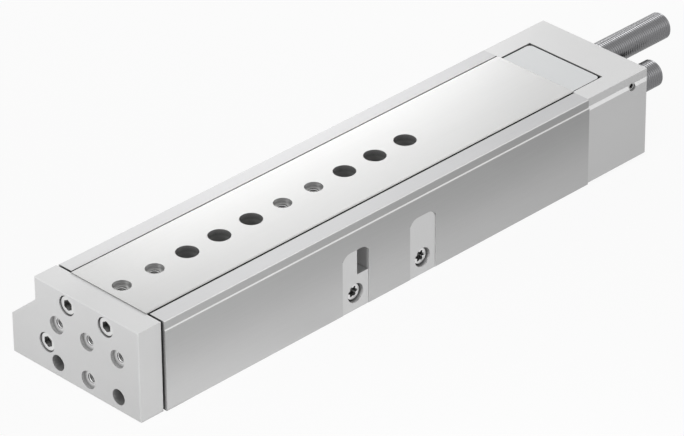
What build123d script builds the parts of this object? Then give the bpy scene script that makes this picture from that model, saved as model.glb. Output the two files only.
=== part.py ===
from build123d import *
import math
import os

# Pneumatic slide table: a ball guided table beside a 25 mm cylinder.
# A cushion slows the table down at each end of its stroke.
# X runs along the stroke towards the yoke, Y across towards the side with the two side blocks, Z up.
# The origin is the centre of the base face. All sizes are in millimetres.

# Stroke and grid
stroke = 150.0
hole_pitch = 20.0
first_hole_inset = 7.0
table_holes = "sslllsslll"

# Housing profile
housing_length = 276.0
housing_height = 47.0
side_y = 35.5
band_depth = 0.5
band_height = 4.4
ledge_bevel = 0.5
far_side_y = -34.2
flange_wall = 11.0
flange_rise = 5.4
flange_shoulder_drop = 12.2
edge_chamfer = 0.4

# Guide: strips over the rails, rails with a vee groove, ball cages
strip_thickness = 6.5
rail_height = 10.0
rail_relief = 2.2
under_gap = 0.5
side_gap = 0.95
slide_width = 49.6
slide_proud = 0.5
core_width = 34.0
slide_rail_thickness = 4.7
housing_rail_thickness = 6.2
rail_gap = 1.6
ball_r = 2.0
ball_clearance = 0.04
balls_per_cage = 8
cage_thickness = 0.8
cage_height = 7.2
cage_margin = 3.0

# Table top holes
centring_r = 4.5
centring_depth = 2.1
thread_m6_r = 2.5
thread_m6_depth = 12.0
access_r = 5.5
mount_hole_r = 3.3
mount_head_r = 5.2
mount_head_depth = 10.0

# Yoke plate
yoke_gap = 1.3
yoke_thickness = 13.7
yoke_half_width = 34.2
yoke_drop = 0.45
yoke_lift = 0.15
yoke_chamfer = 0.4
yoke_row_z = 7.5
yoke_plain_r = 4.0

# Rear block and slide end cap
rear_block_length = 42.2
rear_block_lift = 0.85
rear_block_inset = 0.1
rear_block_far_inset = 0.4
rear_band_inset = 1.0
rear_ledge_drop = 1.6
rear_corner = 1.4
rear_edge_chamfer = 0.25
pocket_left_y = -23.0
pocket_right_y = 24.6
cap_length = 19.8
cap_gap = 1.0
cap_drop = 0.7
cap_corner_r = 2.5
cap_right_play = 0.7
cap_left_play = 1.0
vent_r = 1.25
vent_depth = 8.0
vent_seat_r = 2.3
vent_from_rear = 11.5
vent_below_ledge = 0.9

# Cylinder
cylinder_y = -27.2
bore_floor = 2.8
bore_roof = 2.7
rod_r = 5.0
gland_length = 24.0
gland_inset = 4.0
gland_shoulder = 2.0
gland_bore_play = 0.3
circlip_width = 1.3
circlip_bite = 0.8
circlip_wall = 2.0
circlip_mouth = 5.0
bush_r = 6.5
seal_width = 4.0
rod_seal_r = 7.5
ring_width = 2.4
ring_depth = 1.8
plug_length = 14.0
plug_flange = 3.0
plug_flange_rim = 1.3
plug_play = 0.05
piston_length = 26.0
piston_play = 0.1
piston_spigot_r = 4.0
piston_gap = 14.0
piston_nut_height = 5.0
piston_nut_flats = 13.0
seal_inset = 4.0
magnet_width = 4.0
magnet_sink = 0.3
port_r = 4.3
port_depth = 10.0
passage_r = 2.0
passage_wall = 5.5
port_pitch = 17.0
port_inset = 12.0
feed_from_gland = 6.0

# Shock absorbers
absorber_r = 7.0
absorber_length = 58.8
plunger_stroke = 15.0
plunger_r = 2.5
plunger_tail = 10.0
button_r = 3.2
button_length = 3.0
button_play = 0.35
button_seat_play = 0.5
key_flats = 5.0
key_depth = 4.0
absorber_chamfer = 0.8
retract_y = -2.4
retract_lift = 5.8
advance_y = 16.1
advance_drop = 3.2
advance_grip = 10.7
boss_wall = 1.5
trough_gap = 0.3
stop_gap = 0.3
nut_r = 9.0
nut_thickness = 5.0
nut_sink = 0.4
nut_seat_play = 0.4
ring_notch_width = 2.5
ring_notch_depth = 1.0

# Side blocks in the visible long side
side_block_width = 17.0
side_block_below_ledge = 10.6
side_block_corner = 5.0
side_block_pitch = 44.0
side_block_recess = 0.35
side_block_play = 0.1
stop_tab = 9.6
side_plate_depth = 5.5
side_cavity_floor = 3.0
side_cavity_roof = 1.0
blank_depth = 9.0
stop_inner_y = 10.0
side_screw_z = 9.0
side_screw_sink = 1.75
side_screw_length = 25.0

# Screws
m5_r = 2.5
m5_head_r = 4.25
m5_head = 5.0
m5_hex = 4.0
m6_r = 3.0
m6_head_r = 4.7
m6_head = 6.0
m6_hex = 5.0
lobe_drive_r = 2.9
lobe_r = 0.75
head_play = 0.7
hole_play = 0.25
thread_play = 0.02
seat_depth = 6.0
yoke_seat_depth = 6.8
yoke_head_play = 0.3
end_screw_y = 12.7
end_screw_below_top = 6.6
block_seat_depth = 8.0
block_screw_places = ((-45.0, 6.0), (-6.0, 9.0), (13.0, 9.0), (29.5, 9.0))
screw_grip = 10.0
drill_past = 2.0
head_chamfer = 0.3

# Fits
running = 0.05
static_fit = 0.02

# Sensor slots in the sloped side of the flange
slot_width = 5.2
slot_mouth = 3.4
slot_depth = 4.4
slot_lip = 1.2
slot_places = (6.5, 15.5)

# Places worked out from the sizes
front_x = housing_length / 2
seam_x = -front_x
block_rear_x = seam_x - rear_block_length
channel_z = housing_height - strip_thickness - rail_height
bore_r = (channel_z - bore_roof - bore_floor) / 2
cylinder_z = bore_floor + bore_r
plug_flange_r = bore_r + plug_flange_rim
flange_y = cylinder_y - bore_r - flange_wall
flange_height = cylinder_z + flange_rise
flange_shoulder_z = housing_height - flange_shoulder_drop
passage_y = cylinder_y - bore_r - passage_wall
retract_z = channel_z + retract_lift
advance_z = channel_z - advance_drop
strip_z = channel_z + rail_height
core_z = channel_z + under_gap
wing_z = strip_z + under_gap
slide_top_z = housing_height + slide_proud
end_screw_z = slide_top_z - end_screw_below_top
channel_half = slide_width / 2 + side_gap
guide_z = channel_z + rail_height / 2
slide_rail_y = core_width / 2 + slide_rail_thickness
ball_y = slide_rail_y + rail_gap / 2
housing_rail_y = slide_rail_y + rail_gap
rail_pocket_y = housing_rail_y + housing_rail_thickness
band_y = side_y - band_depth
ledge_z = housing_height - band_height
side_block_height = ledge_z - side_block_below_ledge
slide_front_x = front_x + yoke_gap
yoke_front_x = slide_front_x + yoke_thickness
first_hole_x = front_x - first_hole_inset
hole_xs = [first_hole_x - i * hole_pitch for i in range(len(table_holes))]
small_xs = [x for x, size in zip(hole_xs, table_holes) if size == "s"]
large_xs = [x for x, size in zip(hole_xs, table_holes) if size == "l"]
cap_rear_x = seam_x - cap_length
pocket_rear_x = cap_rear_x - cap_gap
retract_front_x = cap_rear_x - stop_gap - plunger_stroke
advance_front_x = cap_rear_x + advance_grip
stop_face_x = advance_front_x + plunger_stroke + stroke + stop_gap
stop_block_x = stop_face_x + stop_tab - side_block_width / 2
blank_block_x = stop_block_x - side_block_pitch
boss_r = absorber_r + boss_wall
trough_r = boss_r + trough_gap
trough_z = advance_z - trough_r
gland_front_x = front_x - gland_inset
gland_rear_x = gland_front_x - gland_length
plug_front_x = seam_x + plug_length
piston_rear_x = plug_front_x + piston_gap
piston_front_x = piston_rear_x + piston_length
front_port_x = seam_x - port_inset
rear_port_x = front_port_x - port_pitch
feed_x = gland_rear_x - feed_from_gland
bush_front_x = gland_front_x - seal_width - gland_shoulder
cage_length = housing_length - stroke - 2 * cage_margin
cage_rear_x = seam_x + stroke / 2 + cage_margin
ball_pitch = cage_length / balls_per_cage
ball_xs = [cage_rear_x + ball_pitch * (i + 0.5) for i in range(balls_per_cage)]
yoke_screw_places = ((-end_screw_y, end_screw_z), (end_screw_y, end_screw_z), (cylinder_y, cylinder_z))
side_head_y = side_y - side_block_recess - side_screw_sink
side_seat_y = side_head_y - m5_head

os.makedirs("parts", exist_ok=True)


def block(x0, x1, y0, y1, z0, z1):
    """A box between two corners."""
    return Pos((x0 + x1) / 2, (y0 + y1) / 2, (z0 + z1) / 2) * Box(x1 - x0, y1 - y0, z1 - z0)


def rod_x(x0, x1, y, z, r):
    """A round bar along X."""
    return Pos((x0 + x1) / 2, y, z) * Rot(0, 90, 0) * Cylinder(r, x1 - x0)


def rod_y(x, y0, y1, z, r):
    """A round bar along Y."""
    return Pos(x, (y0 + y1) / 2, z) * Rot(90, 0, 0) * Cylinder(r, y1 - y0)


def rod_z(x, y, z0, z1, r):
    """A round bar along Z."""
    return Pos(x, y, (z0 + z1) / 2) * Cylinder(r, z1 - z0)


def ring_x(x0, x1, y, z, outer, inner):
    """A plain ring along X."""
    return rod_x(x0, x1, y, z, outer) - rod_x(x0 - 1, x1 + 1, y, z, inner)


def prism_x(section, x0, x1):
    """A section drawn across the stroke, pulled along X."""
    return extrude(Plane.YZ.offset(x0) * section, x1 - x0)


def prism_y(section, y0, y1):
    """A section drawn on the long side, pulled along Y."""
    return extrude(Plane.XZ.offset(-y1) * section, y1 - y0)


def mirrored_pair(shape):
    """A shape and its mirror image across the centreline."""
    return [shape, shape.mirror(Plane.XZ)]


def hex_socket(flats):
    return RegularPolygon(flats / 2, 6, major_radius=False)


def lobed_socket():
    middle = lobe_drive_r - lobe_r
    return Circle(middle) + PolarLocations(middle, 6) * Circle(lobe_r)


def cap_screw(length, r, head_r, head_height, socket):
    """A cap screw with its head above the seat and its shank below, along Z."""
    head = extrude(Circle(head_r), head_height)
    head = chamfer(head.edges().group_by(Axis.Z)[-1], head_chamfer)
    head -= Pos(0, 0, head_height / 2) * extrude(socket, head_height)
    shank = Pos(0, 0, -length / 2) * Cylinder(r, length)
    return head + shank


def m5_screw(length, socket):
    return cap_screw(length, m5_r, m5_head_r, m5_head, socket)


def save(shape, name):
    """Write one sub-part."""
    export_step(shape, f"parts/{name}.step")


def flange_outline(top_left_y, right_points, bottom_z):
    """The outline across the stroke that housing, rear block and yoke share: a low flange on the far side."""
    left = [(flange_y, bottom_z)]
    left_top = [(top_left_y, flange_shoulder_z), (flange_y, flange_height)]
    return Polygon(*left, *right_points, *left_top, align=None)


def channel_section():
    """The slot for the table, with a pocket for a rail on each side under the strips."""
    slot = Pos(0, (channel_z + housing_height) / 2 + 1)
    slot *= Rectangle(2 * channel_half, housing_height - channel_z + 2)
    pockets = Pos(0, guide_z) * Rectangle(2 * rail_pocket_y, rail_height)
    return slot + pockets


def trough_section(r, top_z):
    """A round-bottomed trough below the channel, on the advance absorber's axis."""
    side = Pos(advance_y, (advance_z + top_z) / 2) * Rectangle(2 * r, top_z - advance_z)
    return Pos(advance_y, advance_z) * Circle(r) + side


def side_profile(width, bottom_z, top_z, corner):
    """An upright plate profile with round top corners."""
    profile = Pos(0, (bottom_z + top_z) / 2) * Rectangle(width, top_z - bottom_z)
    return fillet(profile.vertices().group_by(Axis.Y)[-1], corner)


def sensor_slots():
    """Undercut slots for two position sensors, along the sloped side of the flange."""
    run_y = far_side_y - flange_y
    run_z = flange_shoulder_z - flange_height
    slope = math.degrees(math.atan2(run_z, run_y))
    mouth = Pos(0, -slot_lip / 2) * Rectangle(slot_mouth, slot_lip + 2)
    body = Pos(0, -(slot_lip + slot_depth) / 2) * Rectangle(slot_width, slot_depth - slot_lip)
    slots = []
    for place in slot_places:
        y = flange_y + place * math.cos(math.radians(slope))
        z = flange_height + place * math.sin(math.radians(slope))
        section = Pos(y, z) * Rot(0, 0, slope) * (mouth + body)
        slots.append(prism_x(section, seam_x - 1, front_x + 1))
    return slots


def housing():
    right = [
        (side_y, 0),
        (side_y, ledge_z - ledge_bevel),
        (band_y, ledge_z),
        (band_y, housing_height),
        (far_side_y, housing_height),
    ]
    outline = flange_outline(far_side_y, right, 0)
    outline = chamfer(outline.vertices().group_by(Axis.Y)[0], edge_chamfer)
    outline = chamfer(outline.vertices().group_by(Axis.Y)[-1], edge_chamfer)
    body = prism_x(outline, seam_x, front_x)
    body -= prism_x(channel_section(), seam_x - 1, front_x + 1)
    body -= prism_x(trough_section(trough_r, channel_z + 1), seam_x - 1, stop_block_x + side_block_width / 2)

    body -= rod_x(seam_x - 1, front_x + 1, cylinder_y, cylinder_z, bore_r)
    body -= rod_x(seam_x - 1, seam_x + plug_flange, cylinder_y, cylinder_z, plug_flange_r + plug_play)
    body -= rod_x(gland_front_x, gland_front_x + circlip_width, cylinder_y, cylinder_z, bore_r + circlip_bite)
    body -= rod_x(seam_x - 1, feed_x, passage_y, cylinder_z, passage_r)
    body -= rod_y(feed_x, passage_y, cylinder_y, cylinder_z, passage_r)

    for x in large_xs:
        body -= rod_z(x, 0, -1, channel_z + 1, mount_hole_r)
        body -= rod_z(x, 0, channel_z - mount_head_depth, channel_z + 1, mount_head_r)
        body -= rod_z(x, 0, -1, centring_depth, centring_r)
    for y, z in block_screw_places:
        body -= rod_x(seam_x - 1, seam_x + screw_grip + drill_past, y, z, m5_r + thread_play)
    body -= sensor_slots()

    outer = side_profile(side_block_width, -side_block_corner, side_block_height, side_block_corner)
    for x, inner_y in ((stop_block_x, stop_inner_y), (blank_block_x, side_y - blank_depth)):
        body -= Pos(x, 0, 0) * prism_y(outer, side_y - side_plate_depth, side_y + 1)
        body -= side_cavity(x, inner_y)
        body -= rod_y(x, side_seat_y - side_screw_length - 1, side_y, side_screw_z, m5_r + thread_play)
    return body


def side_cavity(x, inner_y):
    """The deeper part of a side block's seat, below the guide rail."""
    half = side_block_width / 2
    return block(x - half, x + half, inner_y, side_y, side_cavity_floor, channel_z - side_cavity_roof)


def side_block(x, inner_y):
    """A block that fills its seat in the long side, with the seat for a sunk screw."""
    face_y = side_y - side_block_recess
    plate_y = side_y - side_plate_depth
    width = side_block_width - 2 * side_block_play
    corner = side_block_corner - side_block_play
    plate = side_profile(width, side_block_play * 2, side_block_height - side_block_play, corner)
    shape = Pos(x, 0, 0) * prism_y(plate, plate_y, face_y)
    bottom_z = side_cavity_floor + side_block_play
    top_z = channel_z - side_cavity_roof - side_block_play
    return shape + block(x - width / 2, x + width / 2, inner_y, face_y - 1, bottom_z, top_z)


def side_screw_seat(x, inner_y):
    """The sunk seat and the hole of a side block's screw."""
    face_y = side_y - side_block_recess
    seat = rod_y(x, side_seat_y, face_y + 1, side_screw_z, m5_head_r + head_play)
    return seat + rod_y(x, inner_y - 1, side_seat_y + 1, side_screw_z, m5_r + hole_play)


def advance_stop():
    """The stop that the advance absorber meets. Its notch shows from the side as a window."""
    shape = side_block(stop_block_x, stop_inner_y)
    left = stop_block_x - side_block_width
    shape -= block(left, stop_face_x, stop_inner_y - 1, side_y + 1, trough_z, side_block_height + 1)
    return shape - side_screw_seat(stop_block_x, stop_inner_y)


def blanking_block():
    """The block that closes the stop's second place, for a shorter stroke."""
    inner_y = side_y - blank_depth
    return side_block(blank_block_x, inner_y) - side_screw_seat(blank_block_x, inner_y)


def side_screws():
    screw = Rot(-90, 0, 0) * m5_screw(side_screw_length, lobed_socket())
    return Compound([Pos(x, side_seat_y, side_screw_z) * screw for x in (stop_block_x, blank_block_x)])


def rear_block():
    """The block that closes the housing's rear end, with a pocket that takes the table's end cap."""
    top_y = side_y - rear_band_inset - rear_block_inset
    far_y = far_side_y + rear_block_far_inset
    right = [
        (side_y - rear_block_inset, rear_block_lift),
        (side_y - rear_block_inset, ledge_z - rear_ledge_drop),
        (top_y, ledge_z),
        (top_y, housing_height),
        (far_y, housing_height),
    ]
    outline = flange_outline(far_y, right, rear_block_lift)
    outline = chamfer(outline.vertices().group_by(Axis.Y)[0], edge_chamfer)
    body = prism_x(outline, block_rear_x, seam_x)
    body = chamfer(body.faces().sort_by(Axis.X)[0].edges(), rear_edge_chamfer)
    body -= rear_corner_cut()
    middle_y = (pocket_left_y + pocket_right_y) / 2
    pocket = Pos(middle_y, (channel_z + housing_height) / 2 + 1)
    pocket *= Rectangle(pocket_right_y - pocket_left_y, housing_height - channel_z + 2)
    body -= prism_x(pocket, pocket_rear_x, seam_x + 1)
    body -= prism_x(trough_section(trough_r, channel_z + 1), pocket_rear_x, seam_x + 1)
    body -= rod_x(block_rear_x - 1, pocket_rear_x + 1, advance_y, advance_z, trough_r)
    body -= rod_x(block_rear_x - 1, pocket_rear_x + 1, retract_y, retract_z, absorber_r + static_fit)
    nut_front_x = block_rear_x + nut_sink + nut_thickness
    body -= rod_x(block_rear_x - 1, nut_front_x, retract_y, retract_z, nut_r + nut_seat_play)
    for y, z in block_screw_places:
        body -= rod_x(block_rear_x - 1, seam_x + 1, y, z, m5_r + hole_play)
        body -= rod_x(block_rear_x - 1, block_rear_x + block_seat_depth, y, z, m5_head_r + hole_play)
    body -= air_passages()
    vent_x = block_rear_x + vent_from_rear
    vent_z = ledge_z - vent_below_ledge
    body -= rod_y(vent_x, top_y - vent_depth, side_y + 1, vent_z, vent_r)
    body -= rod_y(vent_x, top_y, side_y + 1, vent_z, vent_seat_r)
    return body


def rear_corner_cut():
    """The broken corner where the rear face meets the long side."""
    corner_y = side_y - rear_block_inset
    low = (block_rear_x - 1, corner_y - rear_corner - 1)
    high = (block_rear_x + rear_corner + 1, corner_y + 1)
    wedge = Polygon(low, high, (block_rear_x - 1, corner_y + 1), align=None)
    return extrude(Plane.XY.offset(-1) * wedge, housing_height + 2)


def air_passages():
    """The two supply ports, and the drillings from them to the two ends of the cylinder."""
    ports = rod_y(front_port_x, flange_y - 1, flange_y + port_depth, cylinder_z, port_r)
    ports += rod_y(rear_port_x, flange_y - 1, flange_y + port_depth, cylinder_z, port_r)
    ports += rod_x(front_port_x, seam_x + 1, passage_y, cylinder_z, passage_r)
    ports += rod_y(rear_port_x, flange_y + port_depth - 1, cylinder_y, cylinder_z, passage_r)
    return ports + rod_x(rear_port_x - passage_r, seam_x + 1, cylinder_y, cylinder_z, passage_r)


def rear_block_screws():
    length = rear_block_length - block_seat_depth + screw_grip
    screw = Rot(0, -90, 0) * m5_screw(length, hex_socket(m5_hex))
    seat_x = block_rear_x + block_seat_depth
    return Compound([Pos(seat_x, y, z) * screw for y, z in block_screw_places])


def vee_groove():
    """A square bar on its edge round the ball line: what it cuts from a rail is the groove."""
    half = (ball_r + ball_clearance) * math.sqrt(2)
    left, right = (ball_y - half, guide_z), (ball_y + half, guide_z)
    square = Polygon(left, (ball_y, guide_z - half), right, (ball_y, guide_z + half), align=None)
    return prism_x(square, seam_x - stroke, front_x + stroke)


def housing_rail():
    """The fixed rail. Its lower inner corner is relieved, so that the absorber's ring nut passes."""
    rail = block(seam_x, front_x, housing_rail_y, rail_pocket_y, channel_z, strip_z)
    corner = rail.edges().filter_by(Axis.X).sort_by(lambda edge: edge.center().Y + edge.center().Z)[0]
    return chamfer(corner, rail_relief) - vee_groove()


def slide_rail():
    top_z = strip_z - under_gap
    rail = block(seam_x, slide_front_x, core_width / 2, slide_rail_y, core_z, top_z)
    return rail - vee_groove()


def ball_cage():
    """The strip that keeps the balls apart. It moves half as far as the table."""
    half = cage_thickness / 2
    cage = block(
        cage_rear_x, cage_rear_x + cage_length, ball_y - half, ball_y + half,
        guide_z - cage_height / 2, guide_z + cage_height / 2,
    )
    for x in ball_xs:
        cage -= rod_y(x, ball_y - 1, ball_y + 1, guide_z, ball_r + running)
    return cage


def cage_balls():
    return Compound([Pos(x, ball_y, guide_z) * Sphere(ball_r) for x in ball_xs])


def slide():
    """The moving table: a wide top on a narrower core, with the rails on the core's flanks."""
    top = Pos(0, (wing_z + slide_top_z) / 2) * Rectangle(slide_width, slide_top_z - wing_z)
    top = chamfer(top.vertices().group_by(Axis.Y)[-1], edge_chamfer)
    core = Pos(0, (core_z + wing_z) / 2) * Rectangle(core_width, wing_z - core_z)
    body = prism_x(top + core, seam_x, slide_front_x)
    for x in small_xs:
        body -= rod_z(x, 0, slide_top_z - centring_depth, slide_top_z + 1, centring_r)
        body -= rod_z(x, 0, slide_top_z - centring_depth - thread_m6_depth, slide_top_z, thread_m6_r)
    for x in large_xs:
        body -= rod_z(x, 0, core_z - 1, slide_top_z + 1, access_r)
    for y in (-end_screw_y, end_screw_y):
        deep = screw_grip + drill_past
        body -= rod_x(slide_front_x - deep, slide_front_x + 1, y, end_screw_z, m6_r + thread_play)
        body -= rod_x(seam_x - 1, seam_x + deep, y, end_screw_z, m5_r + thread_play)
    return body


def slide_end_cap():
    """The cap on the table's rear end. It carries the advance absorber, and the retract absorber stops it."""
    top_z = slide_top_z - cap_drop
    left_y = pocket_left_y + cap_left_play
    right_y = pocket_right_y - cap_right_play
    top = Pos((left_y + right_y) / 2, (wing_z + top_z) / 2) * Rectangle(right_y - left_y, top_z - wing_z)
    shape = prism_x(top, cap_rear_x, seam_x)
    upright = shape.edges().filter_by(Axis.Z).group_by(Axis.X)[0]
    shape = fillet(upright, cap_corner_r)
    neck_right = slide_rail_y
    neck = Pos((left_y + neck_right) / 2, (core_z + wing_z) / 2)
    neck *= Rectangle(neck_right - left_y, wing_z - core_z)
    shape += prism_x(neck, cap_rear_x, seam_x)
    under_floor = channel_z - trough_gap
    boss = Pos(advance_y, advance_z) * Circle(boss_r)
    boss &= Pos(advance_y, under_floor - boss_r) * Rectangle(2 * boss_r, 2 * boss_r)
    web_left = advance_y - boss_r
    web = Pos((web_left + neck_right) / 2, (advance_z + core_z) / 2)
    web *= Rectangle(neck_right - web_left, core_z - advance_z + 1)
    shape += prism_x(boss + web, cap_rear_x, seam_x)
    shape -= rod_x(cap_rear_x - 1, seam_x + 1, advance_y, advance_z, absorber_r + static_fit)
    for y in (-end_screw_y, end_screw_y):
        shape -= rod_x(cap_rear_x - 1, seam_x + 1, y, end_screw_z, m5_r + hole_play)
        shape -= rod_x(cap_rear_x - 1, cap_rear_x + seat_depth, y, end_screw_z, m5_head_r + head_play)
    return shape


def end_cap_screws():
    length = cap_length - seat_depth + screw_grip
    screw = Rot(0, -90, 0) * m5_screw(length, hex_socket(m5_hex))
    seat_x = cap_rear_x + seat_depth
    return Compound([Pos(seat_x, y, end_screw_z) * screw for y in (-end_screw_y, end_screw_y)])


def yoke_plate():
    """The plate across the front that ties the table to the piston rod and takes the load."""
    top_z = slide_top_z - yoke_drop
    right = [(yoke_half_width, yoke_lift), (yoke_half_width, top_z), (-yoke_half_width, top_z)]
    outline = flange_outline(-yoke_half_width, right, yoke_lift)
    body = prism_x(outline, slide_front_x, yoke_front_x)
    body = chamfer(body.faces().sort_by(Axis.X)[-1].edges(), yoke_chamfer)
    for y, z in yoke_screw_places:
        body -= rod_x(slide_front_x - 1, yoke_front_x + 1, y, z, m6_r + hole_play)
        body -= rod_x(yoke_front_x - yoke_seat_depth, yoke_front_x + 1, y, z, m6_head_r + yoke_head_play)
    upper_z = yoke_row_z + hole_pitch
    threads = ((-hole_pitch, upper_z), (0, upper_z), (hole_pitch, upper_z), (0, yoke_row_z))
    for y, z in threads:
        body -= rod_x(slide_front_x - 1, yoke_front_x + 1, y, z, thread_m6_r)
        body -= rod_x(yoke_front_x - centring_depth, yoke_front_x + 1, y, z, centring_r)
    for y in (-hole_pitch, hole_pitch):
        body -= rod_x(slide_front_x - 1, yoke_front_x + 1, y, yoke_row_z, yoke_plain_r)
    return body


def yoke_screws():
    length = yoke_thickness - yoke_seat_depth + screw_grip
    screw = Rot(0, 90, 0) * cap_screw(length, m6_r, m6_head_r, m6_head, hex_socket(m6_hex))
    seat_x = yoke_front_x - yoke_seat_depth
    return Compound([Pos(seat_x, y, z) * screw for y, z in yoke_screw_places])


def rod_gland():
    """The front bearing and seal carrier, held in the bore by a circlip."""
    body = rod_x(gland_rear_x, gland_front_x, cylinder_y, cylinder_z, bore_r - plug_play)
    body -= rod_x(gland_rear_x - 1, gland_front_x + 1, cylinder_y, cylinder_z, rod_r + gland_bore_play)
    body -= rod_x(gland_rear_x + gland_shoulder, bush_front_x, cylinder_y, cylinder_z, bush_r + static_fit)
    seal_x = gland_front_x - seal_width
    body -= rod_x(seal_x, gland_front_x + 1, cylinder_y, cylinder_z, rod_seal_r + static_fit)
    groove_x = (gland_front_x + gland_rear_x) / 2
    groove = ring_x(groove_x, groove_x + ring_width, cylinder_y, cylinder_z, bore_r + 1, bore_r - ring_depth)
    return body - groove


def gland_ring():
    x = (gland_front_x + gland_rear_x) / 2
    return ring_x(x, x + ring_width, cylinder_y, cylinder_z, bore_r, bore_r - ring_depth)


def gland_circlip():
    x0 = gland_front_x
    outer = bore_r + circlip_bite - static_fit
    clip = ring_x(x0, x0 + circlip_width, cylinder_y, cylinder_z, outer, bore_r - circlip_wall)
    half = circlip_mouth / 2
    top_z = cylinder_z + 2 * bore_r
    return clip - block(x0 - 1, x0 + 3, cylinder_y - half, cylinder_y + half, cylinder_z, top_z)


def rod_bush():
    rear_x = gland_rear_x + gland_shoulder
    return ring_x(rear_x, bush_front_x, cylinder_y, cylinder_z, bush_r, rod_r + running)


def rod_seal():
    rear_x = gland_front_x - seal_width
    return ring_x(rear_x, gland_front_x, cylinder_y, cylinder_z, rod_seal_r, rod_r + running)


def piston_rod():
    """The rod: a thread for the yoke screw in front, a spigot for the piston behind."""
    rod = rod_x(piston_front_x, slide_front_x, cylinder_y, cylinder_z, rod_r)
    rod += rod_x(piston_rear_x - piston_nut_height, piston_front_x, cylinder_y, cylinder_z, piston_spigot_r)
    thread_x = slide_front_x - screw_grip - drill_past
    return rod - rod_x(thread_x, slide_front_x + 1, cylinder_y, cylinder_z, m6_r + thread_play)


def piston_groove_xs():
    """Rear seal, magnet, guide ring and front seal, in order along the piston."""
    rear = piston_rear_x + seal_inset
    front = piston_front_x - seal_inset - ring_width
    step = (front - rear) / 3
    return rear, rear + step - (magnet_width - ring_width) / 2, rear + 2 * step, front


def piston():
    body = rod_x(piston_rear_x, piston_front_x, cylinder_y, cylinder_z, bore_r - piston_play)
    body -= rod_x(piston_rear_x - 1, piston_front_x + 1, cylinder_y, cylinder_z, piston_spigot_r + static_fit)
    seal_rear, magnet_x, guide_x, seal_front = piston_groove_xs()
    grooves = {seal_rear: ring_width, magnet_x: magnet_width, guide_x: magnet_width, seal_front: ring_width}
    for x, width in grooves.items():
        body -= ring_x(x, x + width, cylinder_y, cylinder_z, bore_r + 1, bore_r - ring_depth)
    return body


def piston_seals():
    seal_rear, _, _, seal_front = piston_groove_xs()
    rings = []
    for x in (seal_rear, seal_front):
        rings.append(ring_x(x, x + ring_width, cylinder_y, cylinder_z, bore_r - running, bore_r - ring_depth))
    return Compound(rings)


def piston_magnet():
    x = piston_groove_xs()[1]
    return ring_x(x, x + magnet_width, cylinder_y, cylinder_z, bore_r - magnet_sink, bore_r - ring_depth)


def piston_guide_ring():
    x = piston_groove_xs()[2]
    return ring_x(x, x + magnet_width, cylinder_y, cylinder_z, bore_r - running, bore_r - ring_depth)


def hex_nut_x(x0, x1, y, z, flats, hole_r):
    """A hexagon nut along X, lying on a flat."""
    section = Pos(y, z) * (RegularPolygon(flats / 2, 6, major_radius=False) - Circle(hole_r))
    return prism_x(section, x0, x1)


def piston_nut():
    x0 = piston_rear_x - piston_nut_height
    hole_r = piston_spigot_r + static_fit
    return hex_nut_x(x0, piston_rear_x, cylinder_y, cylinder_z, piston_nut_flats, hole_r)


def cylinder_end_plug():
    """The rear end of the bore: a flanged plug that the rear block holds in."""
    body = rod_x(seam_x, plug_front_x, cylinder_y, cylinder_z, bore_r - plug_play)
    body += rod_x(seam_x, seam_x + plug_flange, cylinder_y, cylinder_z, plug_flange_r)
    body -= rod_x(seam_x - 1, plug_front_x + 1, cylinder_y, cylinder_z, passage_r)
    x = (seam_x + plug_front_x) / 2
    return body - ring_x(x, x + ring_width, cylinder_y, cylinder_z, bore_r + 1, bore_r - ring_depth)


def end_plug_ring():
    x = (seam_x + plug_front_x) / 2
    return ring_x(x, x + ring_width, cylinder_y, cylinder_z, bore_r, bore_r - ring_depth)


def absorber_body(nose_x, y, z):
    """A threaded absorber body along X, with its plunger's bore in front and a key socket behind."""
    rear = nose_x - absorber_length
    body = rod_x(rear, nose_x, y, z, absorber_r)
    ends = body.edges().filter_by(GeomType.CIRCLE)
    body = chamfer(ends, absorber_chamfer)
    body -= rod_x(nose_x - plunger_tail - plunger_stroke - drill_past, nose_x + 1, y, z, plunger_r + running)
    body -= rod_x(nose_x - button_length - button_seat_play, nose_x + 1, y, z, button_r + button_play)
    key = Pos(y, z) * RegularPolygon(key_flats / 2, 6, major_radius=False)
    return body - prism_x(key, rear - 1, rear + key_depth)


def absorber_plunger(nose_x, y, z):
    """The rod that is pushed in. At rest it stands out of the body by its stroke."""
    return rod_x(nose_x - plunger_tail, nose_x + plunger_stroke - button_length, y, z, plunger_r)


def absorber_button(nose_x, y, z):
    tip = nose_x + plunger_stroke
    button = rod_x(tip - button_length, tip, y, z, button_r)
    return chamfer(button.edges().filter_by(GeomType.CIRCLE).sort_by(Axis.X)[-1], 0.6)


def ring_nut(x0, y, z, r):
    """A round nut with four notches in its rear rim for a hook key."""
    ring = ring_x(x0, x0 + nut_thickness, y, z, r, absorber_r + static_fit)
    rim = ring_x(x0 - 1, x0 + nut_thickness / 2, y, z, r + 1, r - ring_notch_depth)
    for angle in (0, 90):
        bar = Pos(x0, y, z) * Rot(angle, 0, 0)
        bar *= Box(nut_thickness, ring_notch_width, 4 * r)
        ring -= bar & rim
    return ring


def retract_lock_nut():
    """Sunk in the rear block's rear face."""
    return ring_nut(block_rear_x + nut_sink, retract_y, retract_z, nut_r)


def advance_lock_ring():
    """Slim, so that it passes through the trough with the table."""
    return ring_nut(cap_rear_x - nut_thickness, advance_y, advance_z, boss_r)


housing_rails = mirrored_pair(housing_rail())
slide_rails = mirrored_pair(slide_rail())
cages = mirrored_pair(ball_cage())
balls = mirrored_pair(cage_balls())

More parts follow.
